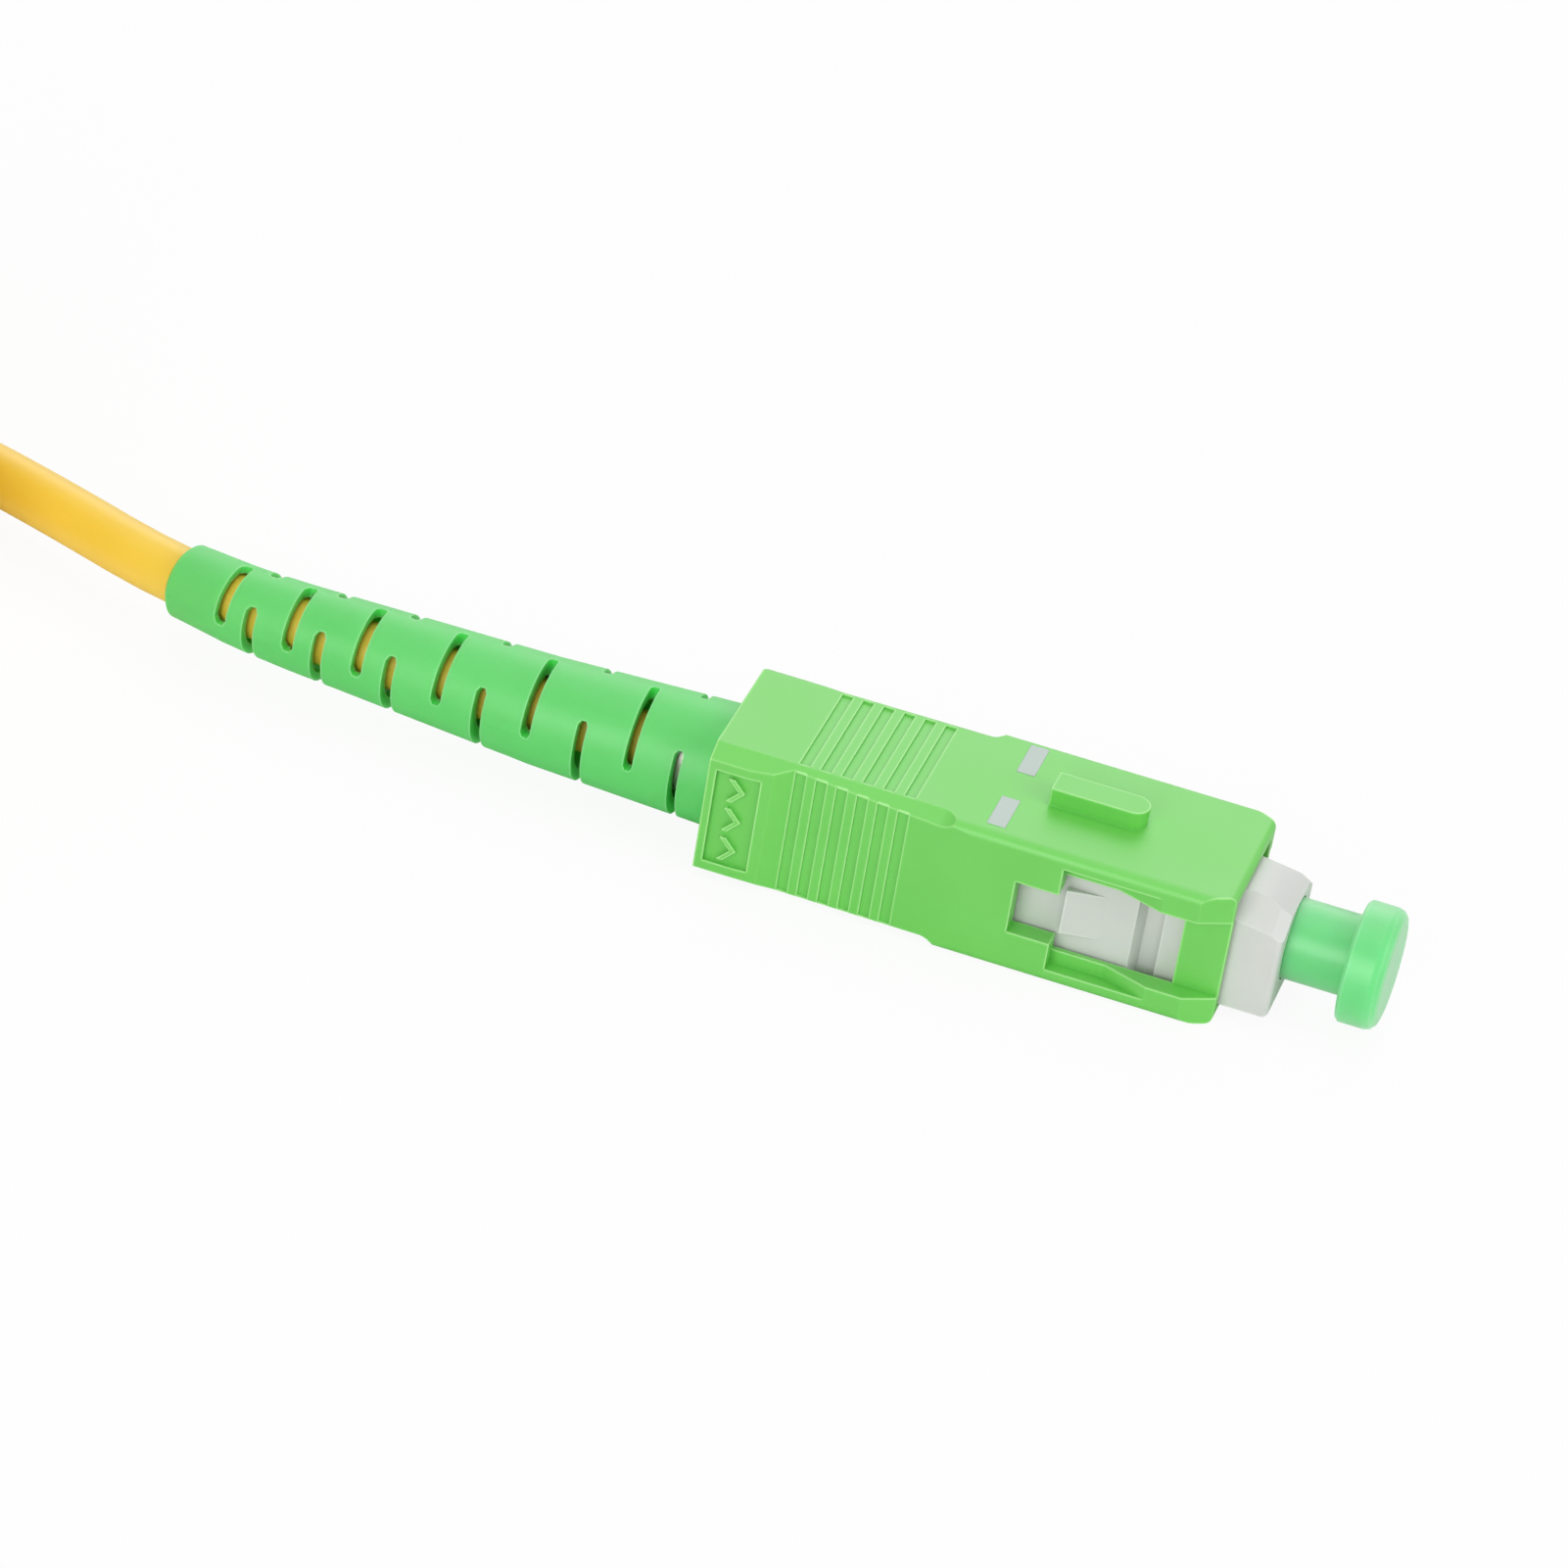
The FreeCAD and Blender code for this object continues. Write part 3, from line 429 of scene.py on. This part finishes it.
# The middle of the bundle, out from the coil's axis and up from the floor.
BUNDLE_MM = (15.0, 8.0)
STRAP_START_MM = 1.0
TONGUE_MM = 9.5
END_ROUND_MM = 1.8
END_LEAST = 0.06
LAP_BEFORE_MM = 1.5
LAP_RISE_MM = 2.4
OFF_CABLE_MM = 0.04
OFF_BAND_MM = 0.02
STRAP_RINGS = 240
STRAP_SIDES = 20
SIDE_POWER, FACE_POWER = 0.3, 0.7


def squared(wave, power):
    """A sine or cosine with its size raised to a power, which squares up the oval that it draws."""
    return np.sign(wave) * np.abs(wave) ** power


def strap_line():
    """The band's middle line: places out and up, its facing, its distance out and its width's share.

    Its line is the bundle's outline, a rectangle with corners of a turn's radius, pushed out along
    its normal by a little, and by one thickness more from where the band meets its own start.  Its
    ends narrow in a quarter circle.
    """
    turn = CABLE_DIAMETER / MM / 2
    wide, tall, quarter = turn, 4 * turn, math.pi / 2 * turn
    runs = np.cumsum([0, 2 * tall, quarter, 2 * wide, quarter, 2 * tall, quarter, 2 * wide, quarter])
    first, last = STRAP_START_MM, runs[-1] + TONGUE_MM
    along = np.linspace(first, last, STRAP_RINGS)
    at = np.mod(along, runs[-1])
    facing = np.radians(np.interp(at, runs, [0, 0, 90, 90, 180, 180, 270, 270, 360]))
    core_out = np.interp(at, runs, np.array([1, 1, 1, -1, -1, -1, -1, 1, 1]) * wide)
    core_up = np.interp(at, runs, np.array([-1, 1, 1, 1, 1, -1, -1, -1, -1]) * tall)
    lap = smooth_step(np.clip((along - runs[-1] + LAP_BEFORE_MM) / LAP_RISE_MM, 0, 1))
    away = turn + OFF_CABLE_MM + STRAP_THICK_MM / 2 + (STRAP_THICK_MM + OFF_BAND_MM) * lap
    ends = np.clip(np.minimum(along - first, last - along) / END_ROUND_MM, 0, 1)
    narrow = np.maximum(np.sqrt(1 - (1 - ends) ** 2), END_LEAST)
    return core_out, core_up, facing, away, narrow


def add_strap():
    """Hook-and-loop strap: a flat band once round the bundle, its tongue lapped up the outer face.

    A flat superellipse, with one axis across the band and one through it, is carried along the
    band's line, and its rings are joined by four-sided faces.
    """
    core_out, core_up, facing, away, narrow = strap_line()
    around = np.linspace(0, 2 * np.pi, STRAP_SIDES, endpoint=False)
    side = squared(np.cos(around), SIDE_POWER) * STRAP_WIDTH_MM / 2
    depth = squared(np.sin(around), FACE_POWER) * STRAP_THICK_MM / 2
    reach = away[:, None] + depth[None, :]
    radius = BUNDLE_MM[0] + core_out[:, None] + reach * np.cos(facing)[:, None]
    height = BUNDLE_MM[1] + core_up[:, None] + reach * np.sin(facing)[:, None]
    angle = STRAP_ANGLE + narrow[:, None] * side[None, :] / radius
    points = np.stack([COIL_CENTRE_MM[0] + radius * np.cos(angle),
                       COIL_CENTRE_MM[1] + radius * np.sin(angle), height], axis=2)
    ring, place = np.meshgrid(np.arange(STRAP_RINGS - 1), np.arange(STRAP_SIDES), indexing="ij")
    beside = (place + 1) % STRAP_SIDES
    this, after = ring * STRAP_SIDES, (ring + 1) * STRAP_SIDES
    faces = np.stack([this + place, after + place, after + beside, this + beside], axis=2)
    last_ring = range((STRAP_RINGS - 1) * STRAP_SIDES, STRAP_RINGS * STRAP_SIDES)
    faces = faces.reshape(-1, 4).tolist() + [list(range(STRAP_SIDES)), list(last_ring)[::-1]]
    strap = new_piece("coil_strap", points.reshape(-1, 3) * MM, faces,
                      woven("nylon_black", "#17181A", "#2B2D31", pitch_mm=3.77, relief_mm=0.12),
                      "plug_core")
    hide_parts("coil_tie")


# ---------------------------------------------------------------- studio
SURROUND_LIGHT = 0.38
FLOOR_BRIGHTNESS = 0.92
FLOOR_PAINT = (0.9, 0.9, 0.9, 1)
FLOOR_HALF = 1.5
LAMPS = (("lamp_behind", (-0.13, 0.61, 0.42), 0.6, 1.8), ("lamp_above", (-0.05, 0.05, 0.75), 0.6, 1.1),
         ("lamp_ahead", (0.55, -0.15, 0.35), 0.4, 1.5), ("lamp_front", (-0.12, -0.62, 0.25), 0.4, 1.9))


def add_surroundings():
    """Even light all round, at full white where it is seen, mirrored or looked through to."""
    world = bpy.data.worlds.new("studio")
    bpy.context.scene.world = world
    world.use_nodes = True
    tree = world.node_tree
    tree.nodes.clear()
    path = add(tree, "LightPath")
    seen = add(tree, "Math", {0: path.outputs["Is Camera Ray"], 1: path.outputs["Is Glossy Ray"]},
               operation="MAXIMUM")
    seen = add(tree, "Math", {0: seen.outputs["Value"], 1: path.outputs["Is Transmission Ray"]},
               operation="MAXIMUM")
    strength = add(tree, "MapRange", {"Value": seen.outputs["Value"]}, To_Min=SURROUND_LIGHT, To_Max=1.0)
    sky = add(tree, "Background", {"Strength": strength.outputs["Result"]}, Color=WHITE)
    add(tree, "OutputWorld", {"Surface": sky.outputs["Background"]})


def add_floor():
    """A pale floor: painted for the light, and mostly its own white where it is seen."""
    material, tree, _ = fresh("floor_white")
    path = add(tree, "LightPath")
    paint = add(tree, "BsdfDiffuse", Color=FLOOR_PAINT)
    glow = add(tree, "Emission", Color=WHITE, Strength=1.0)
    share = add(tree, "Math", {0: path.outputs["Is Camera Ray"]}, operation="MULTIPLY")
    share.inputs[1].default_value = FLOOR_BRIGHTNESS
    mixed = add(tree, "MixShader", {0: share.outputs["Value"], 1: paint.outputs["BSDF"],
                                    2: glow.outputs["Emission"]})
    add(tree, "OutputMaterial", {"Surface": mixed.outputs["Shader"]})
    corners = [(x * FLOOR_HALF, y * FLOOR_HALF, 0) for x, y in ((-1, -1), (1, -1), (1, 1), (-1, 1))]
    mesh = bpy.data.meshes.new("floor")
    mesh.from_pydata(corners, [], [(0, 1, 2, 3)])
    mesh.materials.append(material)
    floor = bpy.data.objects.new("floor", mesh)
    bpy.context.scene.collection.objects.link(floor)


def add_lamps():
    """Four soft square lamps that face the object.

    The lamps behind and above stand where level and sloped tops mirror them, and lay a pale haze on
    satin plastic; the low one in front fills the near side, and the one ahead the cap's end.
    """
    for name, place, size, watts in LAMPS:
        light = bpy.data.lights.new(name, "AREA")
        light.energy = watts
        light.size = size
        lamp = bpy.data.objects.new(name, light)
        lamp.location = place
        direction = np.array(place)
        lamp.rotation_euler = (math.acos(direction[2] / np.linalg.norm(direction)), 0.0,
                               math.atan2(direction[1], direction[0]) + math.pi / 2)
        bpy.context.scene.collection.objects.link(lamp)


aim_camera()
cable = add_cable()
finish_nodes()
add_marks()
add_spring()
add_strap()
add_surroundings()
add_floor()
add_lamps()
bpy.context.scene.view_settings.view_transform = "Standard"
